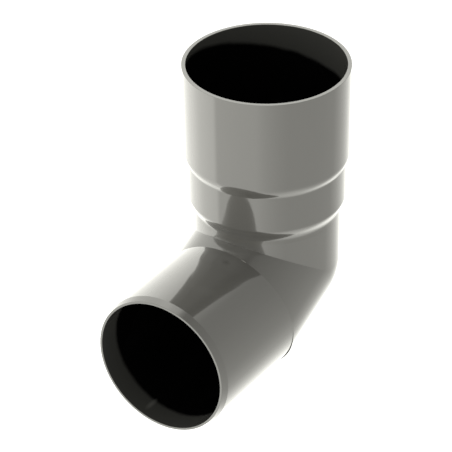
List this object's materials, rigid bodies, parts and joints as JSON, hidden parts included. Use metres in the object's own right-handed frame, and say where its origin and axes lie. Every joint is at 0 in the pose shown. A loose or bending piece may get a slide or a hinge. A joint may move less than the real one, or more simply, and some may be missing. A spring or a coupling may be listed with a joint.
{
  "type": "pvc elbow fitting",
  "caption": "Quarter-bend plastic pipe elbow with a stepped bell socket on one end and a chamfered spigot on the other, cut and joined from lengths of pipe.",
  "frame": {"origin": "centre of the bell's mouth, in the plane of its rim", "axes": "+Z along the socket axis, out of the bell's mouth; -Y the way the spigot points; X across the bend, which is symmetric about the YZ plane"},
  "size_m": [0.177, 0.295, 0.3387],
  "materials": {
    "grey_pvc": "smooth extruded rigid PVC, glossy mid grey",
    "weld_rod": "PVC filler rod, scraped flush, slightly darker",
    "set_cement": "cured solvent cement"
  },
  "bodies": {
    "root": {"socket_bell": "grey_pvc", "stop_collar": "grey_pvc", "throat_pipe": "grey_pvc", "bend_gore": "grey_pvc", "spigot_leg": "grey_pvc", "knee_weld": "weld_rod", "heel_weld": "weld_rod", "bell_cement_band": "set_cement", "collar_cement_band": "set_cement", "collar_cement_bead": "set_cement"}
  },
  "joints": []
}
